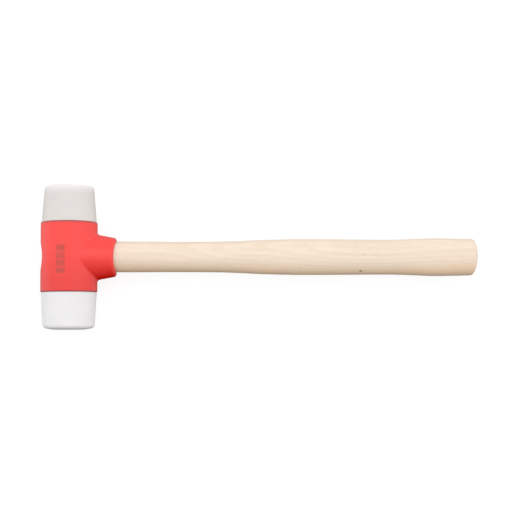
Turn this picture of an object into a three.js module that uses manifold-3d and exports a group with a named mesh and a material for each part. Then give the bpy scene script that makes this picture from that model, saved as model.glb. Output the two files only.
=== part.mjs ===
// A soft-face mallet: a painted cast head with a push-in striking face at each end and a wedged wooden handle.
// Millimetres. The mallet lies on its side: the head's axis is along Y, the handle runs along +X and slopes
// down a little, so that the head's barrel and the grip both touch the plane z = 0.
import * as THREE from "three";
import { mergeVertices } from "three/addons/utils/BufferGeometryUtils.js";
import Module from "manifold-3d";

const wasm = await Module();
wasm.setup();

// ---------------------------------------------------------------- driving dimensions
// The head is drawn round the point where its axis (Y) crosses the collar's axis (X).

const barrelRadius = 20;
const barrelLength = 49.2;
const barrelEdge = 0.6; // rounding of the barrel's outer edges
const socketRadius = 14; // the blind holes that hold the striking faces
const socketDepth = 12;
const socketChamfer = 0.6;

const collarReach = 33.6; // from the head's axis to the collar's mouth
const collarMouthRadius = 14; // before its edge is rounded
const collarDraft = THREE.MathUtils.degToRad(8.9);
const collarEdge = 2.3;
const mouthCurve = 55; // the collar's end is rounded about an axis parallel to the head's, with this radius
const collarRootX = 8; // the collar's cone starts inside the barrel
const mouthFlare = 0.3; // the eye opens out by this much at the collar's mouth
const mouthFlareDepth = 1;

// Each striking face: its height above the barrel, its radius at the barrel and at its end before rounding,
// the rounding of its edge, and how far its crown rises inside that edge up to the flat in the middle.
const hardFace = { height: 26.1, baseRadius: 19.3, endRadius: 17.45, edge: 2.2, crown: 0.3, flatRadius: 10 };
const softFace = { height: 26.6, baseRadius: 19.6, endRadius: 18.35, edge: 3, crown: 1, flatRadius: 8 };
const seatChamfer = 0.4;
const crownShoulder = 0.35; // how much of the crown's rise is left halfway in from its edge
const spigotRadius = 13.6;
const spigotLength = 11.5;
const spigotChamfer = 0.8;
const ribCount = 8; // crush ribs that grip the socket
const ribWidth = 1.6;
const ribRadius = 13.85;
const ribRoot = 8; // how deep inside the spigot a rib starts

// The stiff core that the soft face is moulded round.
const coreNeckRadius = 10.5;
const coreHeadRadius = 14;
const coreNeckStart = 3;
const coreHeadStart = 7;
const coreHeadEnd = 11;

// The handle, as [distance from the head's axis, half width along the head's axis, half thickness].
const eyeStations = [
  [-21, 10.4, 7.9],
  [-16, 9.9, 7.7],
  [-9, 9.2, 7.5],
  [4, 8.9, 7.6],
  [20, 10.1, 9.6],
];
const gripStations = [
  [34, 10.9, 10.7],
  [76, 10.8, 10.3],
  [111, 11.1, 10.2],
  [137, 12.2, 10.4],
  [162, 12.8, 10.6],
  [187, 12.8, 10.6],
  [215, 12.6, 10.4],
  [237, 12.7, 10.4],
  [260, 13.6, 10.9],
  [274, 13.5, 11.1],
  [289, 13.2, 11.0],
];
const handleY = 0.4; // the eye, and the handle in it, sit a little off the collar's axis
const handleFaceX = -18; // the sawn end of the handle, just inside the eye
const buttDepth = 4.4; // how far the rounded butt stands past the last station
const buttFlatAngle = THREE.MathUtils.degToRad(72); // where the round gives way to the flat
const handleRings = 44;

const kerfDepth = 20;
const woodWedge = { length: 18, thick: 3.2, tip: 0.9 };
const steelWedge = { length: 12, thick: 2.2, tip: 0.6, width: 7.6, barbs: 4, barbDepth: 0.22 };
const steelWedgeY = 4.2; // one on each side of the handle's axis

const looseFit = 0.15; // gap between pieces that touch
const roundSides = 48;
const handleSides = 36;
const mouthSides = 96;
const arcSteps = 4;
const overlap = 5; // how far a cutting shape runs past what it cuts

// ---------------------------------------------------------------- solids and geometries

function solidOf(geometry) {
  const plain = geometry.clone();
  plain.deleteAttribute("normal");
  plain.deleteAttribute("uv");
  const merged = mergeVertices(plain, 1e-4);
  const mesh = new wasm.Mesh({
    numProp: 3,
    vertProperties: new Float32Array(merged.attributes.position.array),
    triVerts: new Uint32Array(merged.index.array),
  });
  return new wasm.Manifold(mesh);
}

function geometryOf(solid) {
  const mesh = solid.getMesh();
  const geometry = new THREE.BufferGeometry();
  geometry.setAttribute("position", new THREE.BufferAttribute(new Float32Array(mesh.vertProperties), 3));
  geometry.setIndex(new THREE.BufferAttribute(new Uint32Array(mesh.triVerts), 1));
  geometry.computeVertexNormals();
  return geometry;
}

// Points of a quarter-round edge, from angle `from` to angle `to`, measured from the radius towards the axis.
function arc(centreRadius, centreHeight, radius, from, to) {
  const points = [];
  for (let i = 0; i <= arcSteps; i += 1) {
    const angle = from + ((to - from) * i) / arcSteps;
    points.push([centreRadius + radius * Math.cos(angle), centreHeight + radius * Math.sin(angle)]);
  }
  return points;
}

// A solid of revolution about Y from [radius, height] pairs, given from the bottom up.
function lathe(profile, sides = roundSides) {
  const points = profile.map(([radius, height]) => new THREE.Vector2(radius, height));
  return new THREE.LatheGeometry(points, sides);
}

// An oval bar along X: one ring for each section {x, y, z}, where y and z are its half width and thickness.
function ovalBar(sections) {
  const first = sections[0];
  const last = sections[sections.length - 1];
  const profile = [[0, first.x], ...sections.map((s) => [s.y, s.x]), [0, last.x]];
  const flatness = [1, ...sections.map((s) => s.z / s.y), 1];
  const geometry = lathe(profile, handleSides);
  const position = geometry.attributes.position;
  for (let i = 0; i < position.count; i += 1) {
    position.setZ(i, position.getZ(i) * flatness[i % flatness.length]);
  }
  return geometry.rotateZ(-Math.PI / 2);
}

// A wedge driven along +X: `thick` at its head, `tip` at its point, `width` across.
function wedgeGeometry({ length, thick, tip, width, barbs = 0, barbDepth = 0 }) {
  const side = [];
  for (let i = 0; i < barbs; i += 1) {
    const at = (i + 1) / (barbs + 1);
    const half = (thick + (tip - thick) * at) / 2;
    side.push([length * at, half - barbDepth], [length * at, half]);
  }
  const upper = [[0, thick / 2], ...side, [length, tip / 2]];
  const lower = upper.map(([x, y]) => [x, -y]).reverse();
  const outline = new THREE.Shape([...upper, ...lower].map(([x, y]) => new THREE.Vector2(x, y)));
  const geometry = new THREE.ExtrudeGeometry(outline, { depth: width, bevelEnabled: false });
  return geometry.translate(0, 0, -width / 2);
}

// ---------------------------------------------------------------- the handle's line, shared with the eye

const handleCurve = new THREE.CatmullRomCurve3(
  [...eyeStations, ...gripStations].map(([x, y, z]) => new THREE.Vector3(x, y, z)),
);
const handleLine = handleCurve.getSpacedPoints(handleRings);

// The section of the handle at x, on a straight line between the two rings beside it.
function sectionAt(x) {
  const next = handleLine.findIndex((s) => s.x >= x);
  const a = handleLine[next - 1];
  const b = handleLine[next];
  return a.clone().lerp(b, (x - a.x) / (b.x - a.x));
}

function grown(section, by) {
  return new THREE.Vector3(section.x, section.y + by, section.z + by);
}

// ---------------------------------------------------------------- head

function headHousing() {
  const half = barrelLength / 2;
  const quarter = Math.PI / 2;
  const barrel = lathe([
    [0, -half],
    ...arc(barrelRadius - barrelEdge, -half + barrelEdge, barrelEdge, -quarter, 0),
    ...arc(barrelRadius - barrelEdge, half - barrelEdge, barrelEdge, 0, quarter),
    [0, half],
  ]);
  const rootRadius = collarMouthRadius + (collarReach - collarRootX) * Math.tan(collarDraft);
  const collar = lathe([
    [0, collarRootX],
    [rootRadius, collarRootX],
    ...arc(collarMouthRadius - collarEdge, collarReach - collarEdge, collarEdge, collarDraft, quarter),
    [0, collarReach],
  ]).rotateZ(-quarter);
  const collarEnd = new THREE.CylinderGeometry(mouthCurve, mouthCurve, 2 * barrelLength, mouthSides);
  collarEnd.translate(collarReach - mouthCurve, 0, 0);
  const floor = half - socketDepth;
  const socket = lathe([
    [0, floor],
    [socketRadius, floor],
    [socketRadius, half - socketChamfer],
    [socketRadius + socketChamfer, half],
    [socketRadius + socketChamfer, half + overlap],
    [0, half + overlap],
  ]);
  const flareStart = collarReach - mouthFlareDepth;
  const inside = [...handleLine.filter((s) => s.x < flareStart), sectionAt(flareStart)];
  const mouth = sectionAt(collarReach + mouthFlareDepth);
  const eye = ovalBar([...inside.map((s) => grown(s, looseFit)), grown(mouth, looseFit + 2 * mouthFlare)]);
  eye.translate(0, handleY, 0);
  const solid = solidOf(barrel)
    .add(solidOf(collar).intersect(solidOf(collarEnd)))
    .subtract(solidOf(socket))
    .subtract(solidOf(socket.clone().rotateX(Math.PI)))
    .subtract(solidOf(eye));
  return geometryOf(solid);
}

// ---------------------------------------------------------------- striking faces
// Drawn with the barrel's end plane at y = 0: the head of the face is above it and the spigot below.

// The outer side of a face, from its seat on the barrel to the middle of its striking surface.
function faceOutline({ height, baseRadius, endRadius, edge, crown, flatRadius }) {
  const draft = Math.atan((baseRadius - endRadius) / height);
  return [
    [baseRadius - seatChamfer, looseFit],
    [baseRadius, looseFit + seatChamfer],
    ...arc(endRadius - edge, height - crown - edge, edge, draft, Math.PI / 2),
    [(endRadius - edge + flatRadius) / 2, height - crown * crownShoulder],
    [flatRadius, height],
    [0, height],
  ];
}

function withRibs(geometry) {
  let solid = solidOf(geometry);
  for (let i = 0; i < ribCount; i += 1) {
    const rib = new THREE.BoxGeometry(ribRadius - ribRoot, spigotLength - 2 * spigotChamfer, ribWidth);
    rib.translate((ribRadius + ribRoot) / 2, -spigotLength / 2, 0);
    rib.rotateY((2 * Math.PI * i) / ribCount);
    solid = solid.add(solidOf(rib));
  }
  return geometryOf(solid);
}

const spigotOutline = [
  [0, -spigotLength],
  [spigotRadius - spigotChamfer, -spigotLength],
  [spigotRadius, -spigotLength + spigotChamfer],
];

function hardFaceGeometry() {
  const profile = [...spigotOutline, [spigotRadius, looseFit], ...faceOutline(hardFace)];
  return withRibs(lathe(profile));
}

function softFaceCoreGeometry() {
  const profile = [
    ...spigotOutline,
    [spigotRadius, coreNeckStart],
    [coreNeckRadius, coreNeckStart],
    [coreNeckRadius, coreHeadStart],
    [coreHeadRadius, coreHeadStart],
    [coreHeadRadius, coreHeadEnd],
    [0, coreHeadEnd],
  ];
  return withRibs(lathe(profile));
}

function softFaceGeometry() {
  const profile = [
    [0, coreHeadEnd + looseFit],
    [coreHeadRadius + looseFit, coreHeadEnd + looseFit],
    [coreHeadRadius + looseFit, coreHeadStart - looseFit],
    [coreNeckRadius + looseFit, coreHeadStart - looseFit],
    [coreNeckRadius + looseFit, coreNeckStart + looseFit],
    [ribRadius + 2 * looseFit, coreNeckStart + looseFit],
    [ribRadius + 2 * looseFit, looseFit],
    ...faceOutline(softFace),
  ];
  return lathe(profile);
}

// ---------------------------------------------------------------- handle and its wedges

const woodWedgeFull = { ...woodWedge, width: 2 * eyeStations[0][1] };

function placedWoodWedge(by = 0) {
  const { length, thick, tip, width } = woodWedgeFull;
  const sized = { length: length + by, thick: thick + 2 * by, tip: tip + 2 * by, width: width + 2 * by };
  return solidOf(wedgeGeometry(sized).rotateX(Math.PI / 2).translate(handleFaceX, 0, 0));
}

function placedSteelWedge(y, by = 0) {
  const { length, thick, tip, width } = steelWedge;
  const plain = { length: length + by, thick: thick + 2 * by, tip: tip + 2 * by, width: width + 2 * by };
  const shape = by > 0 ? plain : steelWedge;
  return solidOf(wedgeGeometry(shape).translate(handleFaceX, y, 0));
}

// The bulk of the handle from just outside its sawn end to past the kerf, drawn in or out by `by`.
function tenon(by) {
  const inside = handleLine.filter((s) => s.x > handleFaceX && s.x < handleFaceX + kerfDepth + overlap);
  const sections = [sectionAt(handleFaceX - 1), ...inside];
  return solidOf(ovalBar(sections.map((s) => grown(s, by))));
}

function handleGeometry() {
  const body = [sectionAt(handleFaceX), ...handleLine.filter((s) => s.x > handleFaceX)];
  const last = body[body.length - 1];
  const butt = [];
  for (let i = 1; i <= arcSteps; i += 1) {
    const angle = (buttFlatAngle * i) / arcSteps;
    const scale = Math.cos(angle);
    butt.push(new THREE.Vector3(last.x + buttDepth * Math.sin(angle), last.y * scale, last.z * scale));
  }
  const cut = new THREE.BoxGeometry(kerfDepth + overlap, 2 * barrelRadius, woodWedge.tip + 2 * looseFit);
  cut.translate(handleFaceX + (kerfDepth - overlap) / 2, 0, 0);
  const solid = solidOf(ovalBar([...body, ...butt]))
    .subtract(solidOf(cut))
    .subtract(placedWoodWedge(looseFit))
    .subtract(placedSteelWedge(steelWedgeY, looseFit))
    .subtract(placedSteelWedge(-steelWedgeY, looseFit));
  return geometryOf(solid);
}

function woodWedgeGeometry() {
  const solid = placedWoodWedge()
    .intersect(tenon(-looseFit))
    .subtract(placedSteelWedge(steelWedgeY, looseFit))
    .subtract(placedSteelWedge(-steelWedgeY, looseFit));
  return geometryOf(solid);
}

// ---------------------------------------------------------------- materials

function finish(color, roughness, metalness = 0) {
  return new THREE.MeshStandardMaterial({ color, roughness, metalness });
}

const redPaint = finish(0xe23434, 0.4);
const hardNylon = finish(0xe6dfdc, 0.45);
const whiteRubber = finish(0xedebeb, 0.7);
const coreNylon = finish(0x3a3a3c, 0.5);
const paleWood = finish(0xf0dcc4, 0.6);
const wedgeWood = finish(0xc79a6b, 0.7);
const wedgeSteel = finish(0x9a9c9f, 0.35, 1);

// ---------------------------------------------------------------- assembly

function piece(name, geometry, material) {
  const mesh = new THREE.Mesh(geometry, material);
  mesh.name = name;
  return mesh;
}

const upperEnd = new THREE.Group();
upperEnd.position.y = barrelLength / 2;
upperEnd.add(piece("upper_face", hardFaceGeometry(), hardNylon));

const lowerEnd = new THREE.Group();
lowerEnd.position.y = -barrelLength / 2;
lowerEnd.rotation.x = Math.PI;
lowerEnd.add(piece("lower_face", softFaceGeometry(), whiteRubber));
lowerEnd.add(piece("lower_face_core", softFaceCoreGeometry(), coreNylon));

const mallet = new THREE.Group();
mallet.add(piece("head_housing", headHousing(), redPaint));
mallet.add(upperEnd, lowerEnd);

const haft = new THREE.Group();
haft.position.y = handleY;
haft.add(piece("handle", handleGeometry(), paleWood));
haft.add(piece("wood_wedge", woodWedgeGeometry(), wedgeWood));
for (const [name, y] of [["upper_steel_wedge", steelWedgeY], ["lower_steel_wedge", -steelWedgeY]]) {
  haft.add(piece(name, geometryOf(placedSteelWedge(y)), wedgeSteel));
}
mallet.add(haft);

// The slope at which the barrel and the grip both touch the floor: the handle's underside at x, z = -thickness,
// turned about Y by this angle, comes as low as the barrel's.
const slopes = handleLine
  .filter((s) => s.x > barrelRadius)
  .map((s) => Math.asin(barrelRadius / Math.hypot(s.x, s.z)) - Math.atan2(s.z, s.x));
mallet.rotation.y = Math.min(...slopes);

// The origin is under the middle of the mallet, on the floor.
const bounds = new THREE.Box3().setFromObject(mallet, true);
mallet.position.set(-(bounds.min.x + bounds.max.x) / 2, -(bounds.min.y + bounds.max.y) / 2, -bounds.min.z);

const part = new THREE.Group();
part.add(mallet);

export default part;
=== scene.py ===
# The looks of a soft-face mallet: a painted cast head with two push-in striking faces, and a wedged wooden
# handle. Shapes are drawn in millimetres in the mallet's own frame: the head's axis is Y, the collar's axis
# is X and they cross at the origin. `placement` turns that frame by the handle's slope and moves it to the
# CAD head.
import math

import bmesh
import bpy
from mathutils import Matrix, Vector


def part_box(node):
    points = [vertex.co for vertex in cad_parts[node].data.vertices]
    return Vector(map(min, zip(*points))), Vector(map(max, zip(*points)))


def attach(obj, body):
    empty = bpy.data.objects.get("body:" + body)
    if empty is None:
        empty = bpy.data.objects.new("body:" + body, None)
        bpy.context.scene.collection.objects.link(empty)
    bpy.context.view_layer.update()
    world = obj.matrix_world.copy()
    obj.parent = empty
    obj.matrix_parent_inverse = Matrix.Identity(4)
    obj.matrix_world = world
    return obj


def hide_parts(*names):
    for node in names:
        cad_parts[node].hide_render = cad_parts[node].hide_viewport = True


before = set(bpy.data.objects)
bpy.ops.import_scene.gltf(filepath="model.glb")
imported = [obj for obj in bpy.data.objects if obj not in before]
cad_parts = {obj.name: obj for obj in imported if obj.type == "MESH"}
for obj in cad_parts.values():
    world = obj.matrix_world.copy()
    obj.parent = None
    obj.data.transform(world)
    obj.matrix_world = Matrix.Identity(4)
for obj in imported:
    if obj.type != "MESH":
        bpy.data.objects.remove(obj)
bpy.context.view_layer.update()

# ---------------------------------------------------------------- sizes, in millimetres

MM = 0.001
GAP = 0.15  # between pieces that touch
MERGE_REACH = 0.002  # points closer than this are one
SHARP_ANGLE = math.radians(30)  # edges that turn further stay sharp
HALF_TURN = math.pi
QUARTER_TURN = math.pi / 2

BARREL_RADIUS = 20.0
BARREL_HALF = 24.6
BARREL_EDGE = 0.6
SOCKET_RADIUS = 14.0
SOCKET_DEPTH = 12.0
SOCKET_EDGE = 0.6
SOCKET_CENTRE = 1.0  # the socket's floor closes with a small flat of this radius

COLLAR_REACH = 33.6
COLLAR_MOUTH_RADIUS = 14.0
COLLAR_DRAFT = math.radians(8.9)
COLLAR_EDGE = 2.3
MOUTH_CURVE = 55.0  # the collar's end is rounded with this radius, about an axis parallel to the head's
CREASE_FILLET = 2.4  # radius of the fillet at the collar's root
CREASE_SPREAD = 0.25  # the least that the fillet reaches on each side of the crease
MOUTH_FLARE = 0.3
EYE_EDGE = 0.6  # rounding of the eye's outer edge

HARD_FACE = {"height": 26.1, "base": 19.3, "end": 17.45, "edge": 1.8, "crown": 0.3, "flat": 10.0}
SOFT_FACE = {"height": 26.6, "base": 19.6, "end": 18.35, "edge": 3.0, "crown": 1.0, "flat": 8.0}
SPIGOT_RADIUS = 13.6
SPIGOT_LENGTH = 11.5
SPIGOT_EDGE = 0.8
SPIGOT_TOP = -0.6  # where its straight side ends below the barrel's end plane
NECK = 0.2  # the hard face starts to widen this far below that plane, and widens by as much
RIB_COUNT = 8
RIB_WIDTH = 1.6
RIB_HEIGHT = 0.25
RIB_FOOT = 1.5  # where a rib's flank meets the spigot, in half widths from the rib's middle
RIB_TOP = -0.3
RIB_LEAD_IN = 1.5  # the length over which a rib rises from the spigot
SEAT_EDGE = 0.4
GATE_RADIUS = 2.2  # the moulding's gate mark in the middle of the hard face
GATE_DEPTH = 0.2
AXIS_RADIUS = 0.6  # turned pieces close with a small flat of this radius
CORE_NECK_RADIUS = 10.5
CORE_HEAD_RADIUS = 14.0
CORE_NECK_START = 3.0
CORE_HEAD_START = 7.0
CORE_HEAD_END = 11.0
POCKET_EDGE = 0.3  # bevel at the mouth of the rubber's pocket

# The handle: distance from the head's axis, half width along the head's axis, half thickness.
HANDLE_STATIONS = [
    (-21, 10.4, 7.9),
    (-16, 9.9, 7.7),
    (-9, 9.2, 7.5),
    (4, 8.9, 7.6),
    (20, 10.1, 9.6),
    (34, 10.9, 10.7),
    (76, 10.8, 10.3),
    (111, 11.1, 10.2),
    (137, 12.2, 10.4),
    (162, 12.8, 10.6),
    (187, 12.8, 10.6),
    (215, 12.6, 10.4),
    (237, 12.7, 10.4),
    (260, 13.6, 10.9),
    (274, 13.5, 11.1),
    (289, 13.2, 11.0),
]
HANDLE_Y = 0.4  # the eye, and the handle in it, sit a little off the collar's axis
HANDLE_FACE_X = -18.0
BUTT_DEPTH = 4.15
BUTT_FULLNESS = 2.8  # 2 would round the butt as an ellipse
BUTT_LEAN = 0.08  # how much further back the butt ends for each millimetre towards -Y
BUTT_LEAN_START = 270.0
BUTT_LEAN_ROUND = 3.0  # how softly the lean sets in across the handle
KERF_DEPTH = 20.0
WOOD_WEDGE = {"length": 18.0, "thick": 3.2, "tip": 0.9}
STEEL_WEDGE = {"length": 12.0, "thick": 2.2, "tip": 0.6, "width": 7.6, "barbs": 4, "barb": 0.22}
STEEL_WEDGE_Y = 4.2
WOOD_WEDGE_EDGE = 0.12
STEEL_WEDGE_EDGE = 0.15
BARB_STEP = 0.1  # the length within which a barb stands up


# ---------------------------------------------------------------- placement

def handle_section(x):
    """Half width and half thickness of the handle at x, on a smooth curve through the stations."""
    last = len(HANDLE_STATIONS) - 1
    i = max(k for k in range(last) if HANDLE_STATIONS[k][0] <= x or k == 0)
    x0, x1 = HANDLE_STATIONS[i][0], HANDLE_STATIONS[i + 1][0]
    t = (x - x0) / (x1 - x0)
    values = []
    for axis in (1, 2):
        a, b = HANDLE_STATIONS[i][axis], HANDLE_STATIONS[i + 1][axis]
        before, after = HANDLE_STATIONS[max(i - 1, 0)], HANDLE_STATIONS[min(i + 2, last)]
        slope_a = (b - before[axis]) / (x1 - before[0]) * (x1 - x0)
        slope_b = (after[axis] - a) / (after[0] - x0) * (x1 - x0)
        smooth = t * t * (3 - 2 * t)
        values.append(
            a + (b - a) * smooth + slope_a * t * (1 - t) ** 2 - slope_b * t * t * (1 - t)
        )
    return values


def resting_slope():
    """The slope at which the barrel and the grip both touch the floor."""
    slopes = []
    for x, _, thickness in HANDLE_STATIONS:
        if x > BARREL_RADIUS:
            slopes.append(math.asin(BARREL_RADIUS / math.hypot(x, thickness)) - math.atan2(thickness, x))
    return min(slopes)


face_low, face_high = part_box("upper_face")
housing_low, housing_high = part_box("head_housing")
head_centre = Vector((
    (face_low.x + face_high.x) / 2,
    (housing_low.y + housing_high.y) / 2,
    (face_low.z + face_high.z) / 2,
))
placement = Matrix.Translation(head_centre) @ Matrix.Rotation(resting_slope(), 4, "Y")


# ---------------------------------------------------------------- mesh helpers

def skin(bm, rings, cap_start=False, cap_end=False):
    """Joins rings of points, each with as many points as the next, with quads."""
    rows = [[bm.verts.new(point) for point in ring] for ring in rings]
    count = len(rows[0])
    for a, b in zip(rows, rows[1:]):
        for i in range(count):
            j = (i + 1) % count
            bm.faces.new((a[i], a[j], b[j], b[i]))
    if cap_start:
        bm.faces.new(rows[0])
    if cap_end:
        bm.faces.new(rows[-1])


def lathe_rings(profile, sides, rib=None):
    """Rings about Y for (radius, height) pairs. rib(angle, radius, height) is what is added to a radius."""
    rings = []
    for radius, height in profile:
        ring = []
        for i in range(sides):
            angle = 2 * HALF_TURN * i / sides
            full = radius + (rib(angle, radius, height) if rib else 0)
            ring.append(Vector((full * math.cos(angle), height, full * math.sin(angle))))
        rings.append(ring)
    return rings


def arc(radius, height, size, start, end, steps):
    """Points of an arc of that size round (radius, height), between two angles measured from the radius."""
    points = []
    for i in range(steps + 1):
        angle = start + (end - start) * i / steps
        points.append((radius + size * math.cos(angle), height + size * math.sin(angle)))
    return points


def between(a, b, steps):
    """Evenly spaced points after a, up to and with b."""
    return [tuple(p + (q - p) * i / steps for p, q in zip(a, b)) for i in range(1, steps + 1)]


def bezier(a, control, b, steps):
    """Points after a, up to and with b, on a quadratic curve."""
    points = []
    for i in range(1, steps + 1):
        t = i / steps
        points.append(tuple(
            (1 - t) ** 2 * p + 2 * t * (1 - t) * c + t * t * q for p, c, q in zip(a, control, b)
        ))
    return points


def make_piece(bm, name, axis_y=0.0):
    """Closes a mesh that was drawn in the mallet's frame, or round an axis at axis_y in it, and makes it an
    object that stands in its place."""
    bmesh.ops.remove_doubles(bm, verts=bm.verts, dist=MERGE_REACH)
    bmesh.ops.recalc_face_normals(bm, faces=bm.faces)
    off_axis = Matrix.Translation((0, axis_y, 0))
    bmesh.ops.transform(bm, matrix=placement @ Matrix.Scale(MM, 4) @ off_axis, verts=bm.verts)
    mesh = bpy.data.meshes.new(name)
    bm.to_mesh(mesh)
    bm.free()
    mesh.shade_smooth()
    piece = bpy.data.objects.new(name, mesh)
    bpy.context.scene.collection.objects.link(piece)
    return piece


def crisp(piece):
    """Flat faces stay flat, and sharp edges stay sharp."""
    piece.data.set_sharp_from_angle(angle=SHARP_ANGLE)
    weighted = piece.modifiers.new("weighted_normals", "WEIGHTED_NORMAL")
    weighted.keep_sharp = True


def cut(piece, cutters):
    """Takes the cutters' volumes out of a piece."""
    for cutter in cutters:
        boolean = piece.modifiers.new("cut", "BOOLEAN")
        boolean.object = cutter
        boolean.operation = "DIFFERENCE"
        boolean.solver = "EXACT"
    bpy.context.view_layer.update()
    evaluated = piece.evaluated_get(bpy.context.evaluated_depsgraph_get())
    mesh = bpy.data.meshes.new_from_object(evaluated)
    piece.modifiers.clear()
    piece.data = mesh
    for cutter in cutters:
        bpy.data.objects.remove(cutter)


def wear(piece, body, node, material):
    """The piece gets clean edges and its material, rides its body and stands for a CAD node."""
    crisp(piece)
    piece.data.materials.clear()
    piece.data.materials.append(material)
    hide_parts(node)
    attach(piece, body)


# ---------------------------------------------------------------- the head's casting

BARREL_SIDES = 128
ROW_PITCH = 0.98
BARREL_ROWS = 24  # rows each way from the middle
WINDOW_COLS = 26  # the windows for the collar and the eye, in cells each way from their middle
WINDOW_ROWS = 20
WALK_PIECES = 200  # short steps with which a line on the barrel is measured
WALK_EASE = 1.4  # above 1, points lie closer together at the line's start
SOLVER_ROUNDS = 30

# The number of steps along each stretch of the casting's line.
SHORE_STEPS = 10  # on the barrel, beside the collar and beside the eye
FILLET_STEPS = 8
COLLAR_STEPS = 10
LIP_STEPS = 8
THROAT_STEPS = 4
EYE_STEPS = 22
BRINK_STEPS = 6


def barrel_point(turn, row):
    angle = 2 * HALF_TURN * turn / BARREL_SIDES
    return Vector((BARREL_RADIUS * math.cos(angle), row * ROW_PITCH, BARREL_RADIUS * math.sin(angle)))


def in_window(turn, row):
    """Whether the cell that starts at turn, row is left out for the collar or for the eye."""
    from_side = (turn + WINDOW_COLS) % (BARREL_SIDES // 2)
    return from_side < 2 * WINDOW_COLS and -WINDOW_ROWS <= row < WINDOW_ROWS


def window_outline():
    """The corners (turn, row) round a window, as seen from its middle."""
    across = [(turn, -WINDOW_ROWS) for turn in range(-WINDOW_COLS, WINDOW_COLS)]
    along = [(WINDOW_COLS, row) for row in range(-WINDOW_ROWS, WINDOW_ROWS)]
    back = [(-turn, -row) for turn, row in across + along]
    return across + along + back


def eye_radius(x, direction):
    """Radius of the eye in a direction round the collar's axis."""
    width, thickness = handle_section(x)
    oval = 1 / math.hypot(math.cos(direction) / width, math.sin(direction) / thickness)
    return oval + GAP + HANDLE_Y * math.cos(direction)


def on_barrel(radius, direction, side):
    """(x, radius) of the barrel's surface at that radius from the collar's axis."""
    return (side * math.sqrt(BARREL_RADIUS ** 2 - (radius * math.sin(direction)) ** 2), radius)


def collar_radius(x):
    return COLLAR_MOUTH_RADIUS + (COLLAR_REACH - x) * math.tan(COLLAR_DRAFT)


def walk_barrel(start, end, direction, side, skip, steps):
    """(x, radius) pairs on the barrel between two radii: the first is `skip` from the start, measured along
    the surface, and they lie closer together there."""
    shares = [i / WALK_PIECES for i in range(WALK_PIECES + 1)]
    fine = [on_barrel(start + (end - start) * share, direction, side) for share in shares]
    travelled = [0.0]
    for a, b in zip(fine, fine[1:]):
        travelled.append(travelled[-1] + math.dist(a, b))
    points = []
    for i in range(steps + 1):
        target = skip + (travelled[-1] - skip) * (i / steps) ** WALK_EASE
        k = next((k for k in range(1, WALK_PIECES) if travelled[k] >= target), WALK_PIECES)
        share = min((target - travelled[k - 1]) / (travelled[k] - travelled[k - 1]), 1)
        points.append(tuple(p + (q - p) * share for p, q in zip(fine[k - 1], fine[k])))
    return points


def mouth_x(radius, direction):
    """Where the collar ends, at that radius and in that direction from its axis."""
    return COLLAR_REACH - MOUTH_CURVE + math.sqrt(MOUTH_CURVE ** 2 - (radius * math.sin(direction)) ** 2)


def collar_line(direction, window_radius):
    """The casting's surface in the half plane at that direction round the collar's axis: (x, radius) pairs
    from the window round the collar, over the collar, through the eye, to the window round the eye."""
    x = BARREL_RADIUS / 2
    for _ in range(SOLVER_ROUNDS):
        x = on_barrel(collar_radius(x), direction, 1)[0]
    crease = (x, collar_radius(x))
    down_barrel = Vector((crease[1] * math.sin(direction) ** 2 / crease[0], -1.0))
    up_collar = Vector((math.cos(COLLAR_DRAFT), -math.sin(COLLAR_DRAFT)))
    reach = max(CREASE_FILLET * math.tan(down_barrel.angle(up_collar) / 2), CREASE_SPREAD)
    line = walk_barrel(crease[1], window_radius, direction, 1, reach, SHORE_STEPS)[::-1]
    foot = line[-1]
    slope = -foot[1] * math.sin(direction) ** 2 / foot[0]
    tan_draft = math.tan(COLLAR_DRAFT)
    drop = crease[0] - foot[0] + slope * foot[1]
    corner_radius = (crease[1] + tan_draft * drop) / (1 + tan_draft * slope)
    corner = (foot[0] + slope * (corner_radius - foot[1]), corner_radius)
    leg_x = crease[0] + reach
    leg = (leg_x, collar_radius(leg_x))

    line += bezier(foot, corner, leg, FILLET_STEPS)
    mouth = eye_radius(COLLAR_REACH, direction)
    edge_radius = COLLAR_MOUTH_RADIUS - COLLAR_EDGE
    edge_x = mouth_x(COLLAR_MOUTH_RADIUS, direction) - COLLAR_EDGE
    lip_radius = mouth + MOUTH_FLARE
    last_turn = math.acos(max(lip_radius - edge_radius, 0) / COLLAR_EDGE)
    edge = arc(edge_radius, 0, COLLAR_EDGE, COLLAR_DRAFT, last_turn, LIP_STEPS)
    rounded = [(edge_x + height, radius) for radius, height in edge]
    line += between(leg, rounded[0], COLLAR_STEPS) + rounded[1:]
    lip = (rounded[-1][0], lip_radius)
    throat_x = lip[0] - 3 * MOUTH_FLARE
    throat = (throat_x, eye_radius(throat_x, direction))
    line += bezier(lip, (lip[0] - MOUTH_FLARE, mouth), throat, THROAT_STEPS)

    x = -BARREL_RADIUS
    for _ in range(SOLVER_ROUNDS):
        x = on_barrel(eye_radius(x, direction), direction, -1)[0]
    brink = (x, eye_radius(x, direction))
    start_x = brink[0] + EYE_EDGE
    for i in range(1, EYE_STEPS + 1):
        at = throat_x + (start_x - throat_x) * i / EYE_STEPS
        line.append((at, eye_radius(at, direction)))
    shore = walk_barrel(brink[1], window_radius, direction, -1, EYE_EDGE, SHORE_STEPS)
    line += bezier(line[-1], brink, shore[0], BRINK_STEPS) + shore[1:]
    return line


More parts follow.
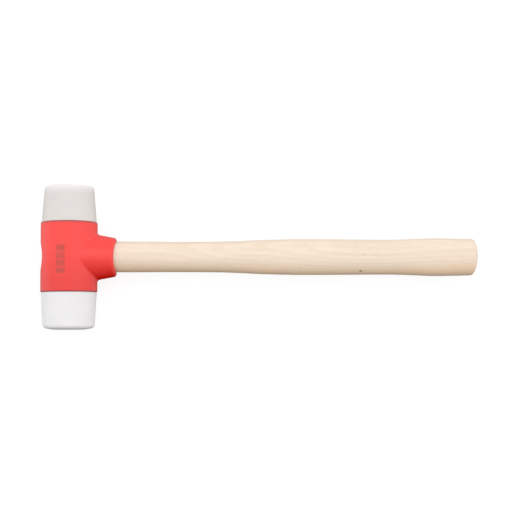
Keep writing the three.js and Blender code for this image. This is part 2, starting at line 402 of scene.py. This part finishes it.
def casting_end(side):
    """(radius, y) pairs from the barrel's last row, round its edge and down the socket."""
    rim = arc(BARREL_RADIUS - BARREL_EDGE, BARREL_HALF - BARREL_EDGE, BARREL_EDGE, 0, QUARTER_TURN, 6)
    mouth_at = (SOCKET_RADIUS + SOCKET_EDGE, BARREL_HALF - SOCKET_EDGE)
    mouth = arc(*mouth_at, SOCKET_EDGE, QUARTER_TURN, HALF_TURN, 4)
    floor = BARREL_HALF - SOCKET_DEPTH
    corner = arc(SOCKET_RADIUS - SOCKET_EDGE, floor + SOCKET_EDGE, SOCKET_EDGE, 0, -QUARTER_TURN, 4)
    profile = [(BARREL_RADIUS, BARREL_ROWS * ROW_PITCH)] + rim
    profile += between(rim[-1], mouth[0], 5) + mouth[1:]
    profile += between(mouth[-1], corner[0], 8) + corner[1:]
    profile += between(corner[-1], (SOCKET_CENTRE, floor), 8)
    return [(radius, side * y) for radius, y in profile]


def build_casting():
    """The head's casting: a grid on the barrel, lines through the collar and the eye that join its two
    windows, and both ends with their sockets."""
    bm = bmesh.new()
    for turn in range(BARREL_SIDES):
        for row in range(-BARREL_ROWS, BARREL_ROWS):
            if not in_window(turn, row):
                corners = ((turn, row), (turn + 1, row), (turn + 1, row + 1), (turn, row + 1))
                bm.faces.new([bm.verts.new(barrel_point(*corner)) for corner in corners])
    lines = []
    for turn, row in window_outline():
        rim = barrel_point(turn, row)
        direction = math.atan2(rim.z, rim.y)
        line = collar_line(direction, math.hypot(rim.y, rim.z))
        cos, sin = math.cos(direction), math.sin(direction)
        lines.append([Vector((x, radius * cos, radius * sin)) for x, radius in line])
    skin(bm, list(zip(*lines)))
    for side in (1, -1):
        skin(bm, lathe_rings(casting_end(side), BARREL_SIDES), cap_end=True)
    return make_piece(bm, "head_casting")


# ---------------------------------------------------------------- striking faces

FACE_SIDES = 192
CROWN_ROUNDS = 8  # of the search for a crown's slope
CROWN_STEPS = 10


def crown_slope(face):
    """The slope at which the crown meets the rounded edge."""
    slope = 0.0
    for _ in range(CROWN_ROUNDS):
        shoulder = face["end"] - face["edge"] * (1 - math.sin(slope))
        slope = math.atan(2 * face["crown"] / (shoulder - face["flat"]))
    return slope


def face_profile(face):
    """(radius, height) pairs from a face's seat on the barrel to the flat in the middle of its crown."""
    slope = crown_slope(face)
    draft = math.atan((face["base"] - face["end"]) / face["height"])
    edge_height = face["height"] - face["crown"] - face["edge"] * math.cos(slope)
    edge = arc(face["end"] - face["edge"], edge_height, face["edge"], draft, QUARTER_TURN - slope, 14)
    seat = arc(face["base"] - SEAT_EDGE, GAP + SEAT_EDGE, SEAT_EDGE, -QUARTER_TURN, 0, 4)
    profile = seat + between(seat[-1], edge[0], 16) + edge[1:]
    crown_width = edge[-1][0] - face["flat"]
    for i in range(1, CROWN_STEPS + 1):
        rise = 1 - i / CROWN_STEPS
        profile.append((face["flat"] + crown_width * rise, face["height"] - face["crown"] * rise ** 2))
    return profile


def spigot_profile():
    """(radius, height) pairs from the middle of a spigot's end up its side."""
    end = [(AXIS_RADIUS, -SPIGOT_LENGTH), (SPIGOT_RADIUS / 2, -SPIGOT_LENGTH)]
    edge = arc(SPIGOT_RADIUS - SPIGOT_EDGE, -SPIGOT_LENGTH + SPIGOT_EDGE, SPIGOT_EDGE, -QUARTER_TURN, 0, 5)
    return end + edge + between(edge[-1], (SPIGOT_RADIUS, SPIGOT_TOP), 10)


def crush_rib(angle, radius, height):
    """What the crush ribs add to a spigot's radius."""
    on_side = abs(radius - SPIGOT_RADIUS) < MERGE_REACH
    if not on_side or height > RIB_TOP:
        return 0.0
    pitch = 2 * HALF_TURN / RIB_COUNT
    off_rib = abs((angle + pitch / 2) % pitch - pitch / 2) * radius
    across = min(max(RIB_FOOT - off_rib / (RIB_WIDTH / 2), 0), 1)
    lead_in = min(max((height + SPIGOT_LENGTH - SPIGOT_EDGE) / RIB_LEAD_IN, 0), 1)
    return RIB_HEIGHT * across * lead_in


def build_lathed(name, profile, side, rib=None):
    """A piece turned about the head's axis, drawn upwards from the barrel's end on that side."""
    placed = [(radius, BARREL_HALF + height) for radius, height in profile]
    rings = lathe_rings(placed, FACE_SIDES, rib and (lambda a, r, y: rib(a, r, y - BARREL_HALF)))
    turned = [[Vector((p.x, side * p.y, p.z)) for p in ring] for ring in rings]
    bm = bmesh.new()
    skin(bm, turned, cap_start=True, cap_end=True)
    return make_piece(bm, name)


def build_hard_face():
    top = HARD_FACE["height"]
    neck = [(SPIGOT_RADIUS, -NECK), (SPIGOT_RADIUS + NECK, GAP)]
    profile = spigot_profile() + neck + face_profile(HARD_FACE)
    profile += between(profile[-1], (GATE_RADIUS, top), 5)
    profile += arc(GATE_RADIUS, top - GATE_DEPTH, GATE_DEPTH, QUARTER_TURN, HALF_TURN, 4)
    profile.append((AXIS_RADIUS, top - GATE_DEPTH))
    return build_lathed("hard_face_insert", profile, 1, crush_rib)


def build_soft_face():
    pocket_radius = SPIGOT_RADIUS + RIB_HEIGHT + 2 * GAP
    profile = [
        (AXIS_RADIUS, CORE_HEAD_END + GAP),
        (CORE_HEAD_RADIUS + GAP, CORE_HEAD_END + GAP),
        (CORE_HEAD_RADIUS + GAP, CORE_HEAD_START - GAP),
        (CORE_NECK_RADIUS + GAP, CORE_HEAD_START - GAP),
        (CORE_NECK_RADIUS + GAP, CORE_NECK_START + GAP),
        (pocket_radius, CORE_NECK_START + GAP),
        (pocket_radius, GAP + POCKET_EDGE),
        (pocket_radius + POCKET_EDGE, GAP),
    ]
    profile += face_profile(SOFT_FACE)
    profile += between(profile[-1], (AXIS_RADIUS, SOFT_FACE["height"]), 6)
    return build_lathed("soft_face_rubber", profile, -1)


def build_soft_core():
    profile = spigot_profile()
    corners = [
        (SPIGOT_RADIUS, CORE_NECK_START),
        (CORE_NECK_RADIUS, CORE_NECK_START),
        (CORE_NECK_RADIUS, CORE_HEAD_START),
        (CORE_HEAD_RADIUS, CORE_HEAD_START),
        (CORE_HEAD_RADIUS, CORE_HEAD_END),
        (AXIS_RADIUS, CORE_HEAD_END),
    ]
    for corner in corners:
        profile += between(profile[-1], corner, 3)
    return build_lathed("soft_face_core", profile, -1, crush_rib)


# ---------------------------------------------------------------- handle and wedges

HANDLE_SIDES = 128
HANDLE_PITCH = 1.5  # from ring to ring
TENON_EDGE = 0.4  # bevel at the handle's sawn end
CUTTER_HEAD = 3.0  # how far a cutting shape runs past the handle's end
WEDGE_RINGS = 12
WEDGE_SIDE_STEPS = 4  # each way from the middle of the wooden wedge's curved sides
GRIP_FULLNESS = 0.2  # how much squarer than an ellipse the grip's section is
BUTT_STEPS = 24
BUTT_LAST_ANGLE = math.radians(89.5)  # just short of the middle of the butt


def butt_lean(x, y):
    """How far a point of the grip leans back: further towards -Y, and more the nearer it is to the butt."""
    share = min(max((x - BUTT_LEAN_START) / (HANDLE_STATIONS[-1][0] - BUTT_LEAN_START), 0), 1)
    return BUTT_LEAN * (math.hypot(y, BUTT_LEAN_ROUND) - y) / 2 * share


def handle_ring(x, width, thickness):
    """One section of the handle: an ellipse in the eye, and a slightly squared one on the grip."""
    grip = min(max((x - COLLAR_REACH) / (2 * BARREL_RADIUS), 0), 1)
    power = 2 / (2 + GRIP_FULLNESS * grip)
    ring = []
    for i in range(HANDLE_SIDES):
        angle = 2 * HALF_TURN * i / HANDLE_SIDES
        cos, sin = math.cos(angle), math.sin(angle)
        y = math.copysign(width * abs(cos) ** power, cos)
        z = math.copysign(thickness * abs(sin) ** power, sin)
        ring.append(Vector((x - butt_lean(x, y), y, z)))
    return ring


def build_handle():
    """The handle, with its butt rounded and its end sawn and split for the wedges."""
    width, thickness = handle_section(HANDLE_FACE_X)
    rings = [handle_ring(HANDLE_FACE_X, width - TENON_EDGE, thickness - TENON_EDGE)]
    start = HANDLE_FACE_X + TENON_EDGE
    end = HANDLE_STATIONS[-1][0]
    steps = round((end - start) / HANDLE_PITCH)
    for i in range(steps + 1):
        x = start + (end - start) * i / steps
        rings.append(handle_ring(x, *handle_section(x)))
    width, thickness = handle_section(end)
    for i in range(1, BUTT_STEPS + 1):
        angle = BUTT_LAST_ANGLE * i / BUTT_STEPS
        scale = math.cos(angle) ** (2 / BUTT_FULLNESS)
        reach = BUTT_DEPTH * math.sin(angle) ** (2 / BUTT_FULLNESS)
        rings.append(handle_ring(end + reach, width * scale, thickness * scale))
    bm = bmesh.new()
    skin(bm, rings, cap_start=True, cap_end=True)
    handle = make_piece(bm, "handle_haft", HANDLE_Y)
    saw = {"length": KERF_DEPTH, "thick": WOOD_WEDGE["tip"], "tip": WOOD_WEDGE["tip"]}
    kerf = wedge_cutter("kerf", saw, 2 * BARREL_RADIUS, "y", 0)
    cut(handle, [kerf, wood_wedge_cutter(), steel_wedge_cutter(1), steel_wedge_cutter(-1)])
    return handle


def wedge_cutter(name, size, width, lies_along, y):
    """The room that a wedge driven along +X needs, drawn out past the handle's end."""
    length, thick, tip = size["length"], size["thick"], size["tip"]
    half_head = thick / 2 + GAP + (thick - tip) / length * CUTTER_HEAD / 2
    across = width / 2 + GAP
    rings = []
    for x, half in ((-CUTTER_HEAD, half_head), (length + GAP, tip / 2 + GAP)):
        ring = []
        for a, b in ((-1, -1), (1, -1), (1, 1), (-1, 1)):
            if lies_along == "y":
                ring.append(Vector((HANDLE_FACE_X + x, y + a * across, b * half)))
            else:
                ring.append(Vector((HANDLE_FACE_X + x, y + a * half, b * across)))
        rings.append(ring)
    bm = bmesh.new()
    skin(bm, rings, cap_start=True, cap_end=True)
    return make_piece(bm, name, HANDLE_Y)


def wood_wedge_cutter():
    return wedge_cutter("wood_cutter", WOOD_WEDGE, 2 * HANDLE_STATIONS[0][1], "y", 0)


def steel_wedge_cutter(side):
    return wedge_cutter("steel_cutter", STEEL_WEDGE, STEEL_WEDGE["width"], "z", side * STEEL_WEDGE_Y)


def build_wood_wedge():
    """The wooden wedge fills the eye from side to side, and the steel wedges split it."""
    rings = []
    for i in range(WEDGE_RINGS + 1):
        share = i / WEDGE_RINGS
        x = HANDLE_FACE_X + WOOD_WEDGE["length"] * share
        width, thickness = (size - GAP for size in handle_section(x))
        half = (WOOD_WEDGE["thick"] + (WOOD_WEDGE["tip"] - WOOD_WEDGE["thick"]) * share) / 2
        edge = WOOD_WEDGE_EDGE if i == 0 else 0.0
        corner = math.asin(half / thickness)
        ring = []
        for middle in (0, HALF_TURN):
            for k in range(-WEDGE_SIDE_STEPS, WEDGE_SIDE_STEPS + 1):
                angle = middle + corner * k / WEDGE_SIDE_STEPS
                z = thickness * math.sin(angle) * (half - edge) / half
                ring.append(Vector((x, (width - edge) * math.cos(angle), z)))
        rings.append(ring)
    bm = bmesh.new()
    skin(bm, rings, cap_start=True, cap_end=True)
    wedge = make_piece(bm, "wooden_wedge", HANDLE_Y)
    cut(wedge, [steel_wedge_cutter(1), steel_wedge_cutter(-1)])
    return wedge


def build_steel_wedge(name, side):
    """A stamped steel wedge with saw-toothed sides."""
    size = STEEL_WEDGE
    edge = STEEL_WEDGE_EDGE
    outline = [(0.0, size["thick"] / 2 - edge), (edge, size["thick"] / 2)]
    for i in range(size["barbs"]):
        share = (i + 1) / (size["barbs"] + 1)
        half = (size["thick"] + (size["tip"] - size["thick"]) * share) / 2
        barb_x = size["length"] * share
        outline += [(barb_x, half - size["barb"]), (barb_x + BARB_STEP, half)]
    outline.append((size["length"], size["tip"] / 2))
    rings = []
    for x, half in outline:
        across = size["width"] / 2 - (edge if x == 0 else 0)
        ring = []
        for y, z in ((-1, -1), (1, -1), (1, 1), (-1, 1)):
            before, after = (0, edge), (edge, 0)
            for off_y, off_z in (before, after) if y == z else (after, before):
                at_y = side * STEEL_WEDGE_Y + y * (half - off_y)
                ring.append(Vector((HANDLE_FACE_X + x, at_y, z * (across - off_z))))
        rings.append(ring)
    bm = bmesh.new()
    skin(bm, rings, cap_start=True, cap_end=True)
    return make_piece(bm, name, HANDLE_Y)


# ---------------------------------------------------------------- shader helpers

def new_material(name, **sockets):
    """A material whose principled shader has those sockets set, with its node tree and its shader."""
    material = bpy.data.materials.new(name)
    material.use_nodes = True
    shader = material.node_tree.nodes["Principled BSDF"]
    for socket, value in sockets.items():
        shader.inputs[socket.replace("_", " ")].default_value = value
    return material, material.node_tree, shader


def add(tree, kind, settings=None, **inputs):
    """A node with settings and with its inputs set or linked. Input names are written with underscores."""
    node = tree.nodes.new("ShaderNode" + kind)
    for name, value in (settings or {}).items():
        setattr(node, name, value)
    for name, value in inputs.items():
        key = int(name[1:]) if name[0] == "_" else name.replace("_", " ")
        if isinstance(value, bpy.types.NodeSocket):
            tree.links.new(value, node.inputs[key])
        else:
            node.inputs[key].default_value = value
    return node


def mallet_coordinates(tree):
    """The place in the mallet's own frame, in millimetres."""
    place = add(tree, "TexCoord").outputs["Object"]
    own_frame = add(
        tree, "Mapping", {"vector_type": "TEXTURE"},
        Vector=place, Location=head_centre, Rotation=(0, resting_slope(), 0), Scale=(MM,) * 3,
    )
    return own_frame.outputs[0]


def maths(tree, operation, a, b=0.0, c=0.0):
    return add(tree, "Math", {"operation": operation}, _0=a, _1=b, _2=c).outputs[0]


def times(tree, a, b):
    return maths(tree, "MULTIPLY", a, b)


def split(tree, vector):
    return add(tree, "SeparateXYZ", Vector=vector).outputs


def distance(tree, a, b):
    return maths(tree, "SQRT", maths(tree, "MULTIPLY_ADD", a, a, times(tree, b, b)))


def noise(tree, place, size, detail=2.0, roughness=0.5):
    """Noise from 0 to 1 whose lumps are about as large as size, in millimetres, along each axis."""
    sizes = size if isinstance(size, tuple) else (size,) * 3
    scaled = add(tree, "Mapping", Vector=place, Scale=[1 / s for s in sizes]).outputs[0]
    lumps = add(tree, "TexNoise", Vector=scaled, Scale=1.0, Detail=detail, Roughness=roughness)
    return lumps.outputs["Fac"]


def ramp(tree, value, low, high, bottom=0.0, top=1.0):
    """From bottom where the value is low to top where it is high, smoothly."""
    node = add(
        tree, "MapRange", {"interpolation_type": "SMOOTHSTEP"},
        Value=value, From_Min=low, From_Max=high, To_Min=bottom, To_Max=top,
    )
    return node.outputs[0]


def blend(tree, factor, a, b):
    """Mixes two colours."""
    node = add(tree, "Mix", {"data_type": "RGBA"}, _0=factor, _6=a, _7=b)
    return node.outputs[2]


def bump(tree, height, depth, below=None):
    """Relief as deep as depth, in millimetres, on top of the relief below."""
    node = add(tree, "Bump", Height=height, Distance=depth * MM)
    if below is not None:
        tree.links.new(below, node.inputs["Normal"])
    return node.outputs[0]


def finish_shader(tree, shader, **sockets):
    """Links values to the shader's sockets."""
    for socket, value in sockets.items():
        tree.links.new(value, shader.inputs[socket.replace("_", " ")])


def rgba(red, green, blue):
    return (red, green, blue, 1.0)


# ---------------------------------------------------------------- materials

RED, RED_PATCH, RED_PAINTED_SHADE = (0.90, 0.027, 0.018), (0.87, 0.023, 0.015), (0.775, 0.012, 0.005)
RED_PAINTED_SHADE_START = 8.0  # from here towards -Y the enamel is painted darker, as painted shade
PRINT_INK = (0.50, 0.028, 0.012)
PRINT_ACROSS = (-7.6, -0.6)  # the printed bars' place on the barrel, across and along the head's axis
PRINT_ALONG = (-12.4, 8.6)
PRINT_EDGE = 1.0
PRINT_PITCH = 5.3  # from bar to bar
RIM_SEAM_SHADE_AND_WORN_PAINT = (0.42, 0.030, 0.034)  # painted shade in the seams at the barrel's rims, broken up like thin worn paint
RIM_WIDTH = (1.3, 0.5)  # from the barrel's end, where it starts and where it is full


def within(tree, value, limits, edge):
    """1 where the value is within the limits and 0 outside, with soft edges."""
    low, high = limits
    return times(tree, ramp(tree, value, low, low + edge), ramp(tree, value, high - edge, high, 1.0, 0.0))


def printed_bars(tree, place, x, y, z):
    """How much ink covers a place: a plain row of equal, worn bars, which stands for the maker's print."""
    start, _ = PRINT_ALONG
    block = times(tree, within(tree, x, PRINT_ACROSS, PRINT_EDGE), within(tree, y, PRINT_ALONG, PRINT_EDGE))
    on_top = ramp(tree, z, 0.0, 1.0)
    step = maths(tree, "FRACT", maths(tree, "DIVIDE", maths(tree, "SUBTRACT", y, start), PRINT_PITCH))
    bars = times(tree, ramp(tree, step, 0.0, 0.15), ramp(tree, step, 0.7, 0.85, 1.0, 0.0))
    ink = maths(tree, "MULTIPLY_ADD", bars, 0.45, 0.55)
    worn = ramp(tree, noise(tree, place, 5, 2), 0.3, 0.7, 0.6, 0.95)
    covered = times(tree, times(tree, block, on_top), worn)
    return times(tree, covered, ink)


def red_enamel():
    """Enamel over a casting, with orange peel, a worn print, painted shade towards -Y, painted shade in the
    seams at the rims broken up like thin worn paint, and bare metal in the sockets."""
    material, tree, shader = new_material(
        "red_enamel", Coat_Weight=0.3, Coat_Roughness=0.3, Specular_IOR_Level=0.6,
    )
    here = mallet_coordinates(tree)
    x, y, z = split(tree, here)
    patches = ramp(tree, noise(tree, here, 18, 3), 0.3, 0.7)
    colour = blend(tree, patches, rgba(*RED), rgba(*RED_PATCH))
    # painted shade: the enamel is painted darker towards -Y
    colour = blend(tree, ramp(tree, y, -BARREL_HALF, RED_PAINTED_SHADE_START, 1.0, 0.0), colour, rgba(*RED_PAINTED_SHADE))
    colour = blend(tree, printed_bars(tree, here, x, y, z), colour, rgba(*PRINT_INK))
    breakup = noise(tree, here, 1.1, 3)
    rim_start, rim_full = (BARREL_HALF - width for width in RIM_WIDTH)
    rim = ramp(tree, maths(tree, "ABSOLUTE", y), rim_start, rim_full)
    # painted shade in the seam at each rim, mixed with thin worn paint
    seam_shade_and_worn_paint = times(tree, rim, ramp(tree, breakup, 0.3, 0.6, 0.55, 0.95))
    colour = blend(tree, seam_shade_and_worn_paint, colour, rgba(*RIM_SEAM_SHADE_AND_WORN_PAINT))
    socket = ramp(tree, distance(tree, x, z), SOCKET_RADIUS + 0.2, SOCKET_RADIUS + 0.7, 1.0, 0.0)
    machined = noise(tree, here, (2.5, 0.25, 2.5), 2)
    metal = blend(tree, machined, rgba(0.30, 0.29, 0.28), rgba(0.42, 0.41, 0.40))
    colour = blend(tree, socket, colour, metal)
    rough = ramp(tree, noise(tree, here, 4, 3), 0.2, 0.8, 0.34, 0.46)
    cast = bump(tree, noise(tree, here, 7, 3), 0.10)
    peel = bump(tree, noise(tree, here, 1.3, 2), 0.03, cast)
    finish_shader(tree, shader, Base_Color=colour, Roughness=rough, Metallic=socket, Normal=peel)
    return material


FACE_END = BARREL_HALF + HARD_FACE["height"]  # about where both striking faces end
END_HIGHLIGHT_TONE = (1.0, 0.97, 0.95)
SCUFF_TONE = (0.42, 0.40, 0.38)
SCUFF_REACH = 3.0  # scuffs lie this close to a face's end


def moulded_face(name, light, dark, roughness, grain, grain_depth, end_highlight, end_highlight_reach, translucency):
    """A moulded striking face: faint clouds of tone, a painted highlight and scuffs at its end, and a fine
    skin.
    """
    material, tree, shader = new_material(
        name, Subsurface_Weight=translucency, Subsurface_Scale=0.003, Subsurface_Radius=(1, 0.9, 0.85),
    )
    here = mallet_coordinates(tree)
    along = maths(tree, "ABSOLUTE", split(tree, here)[1])
    clouds = ramp(tree, noise(tree, here, 11, 3), 0.25, 0.75)
    colour = blend(tree, clouds, rgba(*light), rgba(*dark))
    # painted highlight: the face is painted paler towards its end
    painted_end_highlight = ramp(tree, along, FACE_END - end_highlight_reach, FACE_END, 0.0, end_highlight)
    colour = blend(tree, painted_end_highlight, colour, rgba(*END_HIGHLIGHT_TONE))
    near_end = ramp(tree, along, FACE_END - SCUFF_REACH, FACE_END)
    scuffs = times(tree, near_end, ramp(tree, noise(tree, here, 1.6, 4), 0.5, 0.72))
    colour = blend(tree, times(tree, scuffs, 0.18), colour, rgba(*SCUFF_TONE))
    sheen = ramp(tree, noise(tree, here, 3.5, 3), 0.2, 0.8, roughness - 0.05, roughness + 0.05)
    rough = maths(tree, "ADD", sheen, times(tree, scuffs, 0.2))
    skin_relief = bump(tree, noise(tree, here, grain, 3), grain_depth)
    finish_shader(tree, shader, Base_Color=colour, Roughness=rough, Normal=skin_relief)
    return material


def wood(name, early, late, pore, ring_width, pith, roughness, knots=(), warm_shade_tint=None):
    """Wood whose rings, fibres and pores run along X, so that a sawn or rounded end shows its rings. Where
    a warm shade tint is given, the side towards -Y, where shade falls, is painted with that tint as painted
    shade."""
    material, tree, shader = new_material(name)
    here = mallet_coordinates(tree)
    x, y, z = split(tree, here)
    sway = ramp(tree, noise(tree, here, (130, 45, 45), 1), 0.2, 0.8, -2.5, 2.5)
    across = maths(tree, "ADD", maths(tree, "SUBTRACT", y, pith[0]), sway)
    through = maths(tree, "ADD", maths(tree, "SUBTRACT", z, pith[1]), sway)
    from_pith = maths(tree, "MULTIPLY_ADD", x, 0.02, distance(tree, across, through))
    ring = maths(tree, "FRACT", maths(tree, "DIVIDE", from_pith, ring_width))
    late_wood = times(tree, ramp(tree, ring, 0.1, 0.9), ramp(tree, ring, 0.93, 1.0, 1.0, 0.0))
    fibres = noise(tree, here, (24, 0.5, 0.5), 3, 0.6)
    strands = noise(tree, here, (60, 2.2, 2.2), 3, 0.6)
    shade = maths(tree, "MULTIPLY_ADD", late_wood, 0.5, times(tree, ramp(tree, strands, 0.3, 0.7), 0.5))
    colour = blend(tree, shade, rgba(*early), rgba(*late))
    if warm_shade_tint:
        # painted shade: the side towards -Y is painted warmer
        painted_warm_shade = ramp(tree, maths(tree, "ADD", y, sway), -11, -1, 0.95, 0.0)
        colour = blend(tree, painted_warm_shade, colour, rgba(*warm_shade_tint))
    pores = ramp(tree, noise(tree, here, (4.5, 0.35, 0.35), 2), 0.62, 0.72)
    colour = blend(tree, times(tree, pores, 0.4), colour, rgba(*pore))
    for centre, size, depth, tint in knots:
        off = add(tree, "VectorMath", {"operation": "SUBTRACT"}, _0=here, _1=centre).outputs[0]
        squeezed = add(tree, "VectorMath", {"operation": "MULTIPLY"}, _0=off, _1=(0.7, 1, 1)).outputs[0]
        length = add(tree, "VectorMath", {"operation": "LENGTH"}, _0=squeezed).outputs["Value"]
        colour = blend(tree, ramp(tree, length, size * 0.3, size, depth, 0.0), colour, rgba(*tint))
    rough = ramp(tree, fibres, 0.2, 0.8, roughness - 0.08, roughness + 0.08)
    relief = bump(tree, fibres, 0.03, bump(tree, pores, -0.03))
    finish_shader(tree, shader, Base_Color=colour, Roughness=rough, Normal=relief)
    return material


def handle_wood():
    pin_knot = ((207.6, -9.9, 6.6), 1.1, 0.9, (0.20, 0.11, 0.06))
    mineral_fleck = ((209.5, 1.9, 10.3), 1.2, 0.18, (0.35, 0.25, 0.2))
    return wood(
        "pale_hardwood", early=(0.85, 0.71, 0.58), late=(0.775, 0.635, 0.50), pore=(0.50, 0.36, 0.25),
        ring_width=2.1, pith=(-75, -90), roughness=0.5, knots=(pin_knot, mineral_fleck),
        # painted warm shade on the side towards -Y
        warm_shade_tint=(0.89, 0.66, 0.45),
    )


def wedge_wood():
    return wood(
        "dark_hardwood", early=(0.50, 0.32, 0.17), late=(0.36, 0.21, 0.10), pore=(0.16, 0.08, 0.04),
        ring_width=1.2, pith=(-10, -50), roughness=0.65,
    )


def hard_nylon():
    return moulded_face(
        "moulded_nylon", light=(0.70, 0.66, 0.635), dark=(0.665, 0.63, 0.61), roughness=0.40,
        grain=0.9, grain_depth=0.015, end_highlight=0.45, end_highlight_reach=7, translucency=0.1,
    )


def white_rubber():
    return moulded_face(
        "moulded_rubber", light=(0.835, 0.82, 0.825), dark=(0.805, 0.79, 0.795), roughness=0.60,
        grain=0.6, grain_depth=0.03, end_highlight=0.9, end_highlight_reach=3.5, translucency=0.5,
    )


def bare_steel():
    material, tree, shader = new_material("stamped_steel", Metallic=1.0)
    here = mallet_coordinates(tree)
    drawn = noise(tree, here, (0.6, 3, 12), 3)
    stain = ramp(tree, noise(tree, here, 3, 4), 0.45, 0.7)
    colour = blend(tree, stain, rgba(0.52, 0.52, 0.53), rgba(0.33, 0.29, 0.26))
    rough = ramp(tree, drawn, 0.2, 0.8, 0.3, 0.5)
    finish_shader(tree, shader, Base_Color=colour, Roughness=rough, Normal=bump(tree, drawn, 0.03))
    return material


def core_plastic():
    material, tree, shader = new_material("core_plastic")
    here = mallet_coordinates(tree)
    colour = blend(tree, noise(tree, here, 8, 3), rgba(0.035, 0.036, 0.04), rgba(0.06, 0.06, 0.065))
    rough = ramp(tree, noise(tree, here, 3, 3), 0.2, 0.8, 0.42, 0.55)
    grain = bump(tree, noise(tree, here, 1.1), 0.03)
    finish_shader(tree, shader, Base_Color=colour, Roughness=rough, Normal=grain)
    return material


# ---------------------------------------------------------------- pieces

def make_mallet():
    wear(build_casting(), "hafted_head", "head_housing", red_enamel())
    wear(build_hard_face(), "hard_insert", "upper_face", hard_nylon())
    wear(build_soft_face(), "soft_insert", "lower_face", white_rubber())
    wear(build_soft_core(), "soft_insert", "lower_face_core", core_plastic())
    wear(build_handle(), "hafted_head", "handle", handle_wood())
    wear(build_wood_wedge(), "hafted_head", "wood_wedge", wedge_wood())
    steel = bare_steel()
    for node, side in (("upper_steel_wedge", 1), ("lower_steel_wedge", -1)):
        wear(build_steel_wedge(node + "_stamping", side), "hafted_head", node, steel)


# ---------------------------------------------------------------- floor, light and camera

FLOOR_REACH = 20.0  # metres each way

# The sky's strength at right angles to its brightest direction, what is added towards that direction, and
# what is added towards both ends of the X axis.
SKY_LEVEL = 0.485
SKY_TOWARDS_BRIGHTEST = 0.54
SKY_SIDES = 0.75
BRIGHTEST = Vector((0, 1, 1)).normalized()

# The camera's lens and film in millimetres, and its places in metres from the middle of the head.
CAMERA_LENS = 79.8
CAMERA_FILM = 36
CAMERA_PLACE = Vector((0.1070, -0.0489, 0.8052))
CAMERA_TARGET = Vector((0.1321, 0.0016, 0.0))
PICTURE_TOP = Vector((0.003, 1, 0))


def build_floor():
    mesh = bpy.data.meshes.new("floor")
    corners = [(a * FLOOR_REACH, b * FLOOR_REACH, 0) for a, b in ((-1, -1), (1, -1), (1, 1), (-1, 1))]
    mesh.from_pydata(corners, [], [(0, 1, 2, 3)])
    material, _, _ = new_material(
        "floor_white", Base_Color=rgba(0.2, 0.2, 0.2), Roughness=0.9, Specular_IOR_Level=0.1,
        Emission_Color=rgba(1, 1, 1), Emission_Strength=0.85,
    )
    mesh.materials.append(material)
    floor = bpy.data.objects.new("floor", mesh)
    bpy.context.scene.collection.objects.link(floor)
    floor.visible_diffuse = False
    floor.visible_glossy = False


def add_softbox(name, location, target, width, height, watts):
    light = bpy.data.lights.new(name, "AREA")
    light.shape = "RECTANGLE"
    light.size = width
    light.size_y = height
    light.energy = watts
    lamp = bpy.data.objects.new(name, light)
    lamp.location = location
    lamp.rotation_euler = (Vector(target) - Vector(location)).to_track_quat("-Z", "Y").to_euler()
    bpy.context.scene.collection.objects.link(lamp)


def light_studio():
    """A sky that is brighter overhead and behind the hard face, and one long softbox on the same side. Seen
    directly, the sky is as white as the floor."""
    world = bpy.data.worlds.new("studio")
    world.use_nodes = True
    tree = world.node_tree
    direction = add(tree, "TexCoord").outputs["Generated"]
    towards_brightest = add(tree, "VectorMath", {"operation": "DOT_PRODUCT"}, _0=direction, _1=BRIGHTEST)
    facing = towards_brightest.outputs["Value"]
    sideways = split(tree, direction)[0]
    overhead = maths(tree, "MULTIPLY_ADD", facing, SKY_TOWARDS_BRIGHTEST, SKY_LEVEL)
    glow = maths(tree, "MULTIPLY_ADD", times(tree, sideways, sideways), SKY_SIDES, overhead)
    seen = add(tree, "LightPath").outputs["Is Camera Ray"]
    strength = maths(tree, "MULTIPLY_ADD", glow, maths(tree, "SUBTRACT", 1.0, seen), seen)
    tree.links.new(strength, tree.nodes["Background"].inputs["Strength"])
    tree.nodes["Background"].inputs["Color"].default_value = rgba(1, 1, 1)
    bpy.context.scene.world = world
    add_softbox("strip", location=(0, 0.2, 0.70), target=(0, 0, 0), width=1.6, height=0.5, watts=1.6)
    bpy.context.scene.view_settings.view_transform = "Standard"


def place_camera():
    """The camera looks almost straight down at the mallet's side."""
    camera = bpy.data.objects.new("camera", bpy.data.cameras.new("camera"))
    camera.data.lens = CAMERA_LENS
    camera.data.sensor_width = CAMERA_FILM
    back = (CAMERA_PLACE - CAMERA_TARGET).normalized()
    right = PICTURE_TOP.cross(back).normalized()
    up = back.cross(right)
    turn = Matrix((right, up, back)).transposed().to_4x4()
    camera.matrix_world = Matrix.Translation(head_centre + CAMERA_PLACE) @ turn
    bpy.context.scene.collection.objects.link(camera)
    bpy.context.scene.camera = camera


make_mallet()
build_floor()
light_studio()
place_camera()
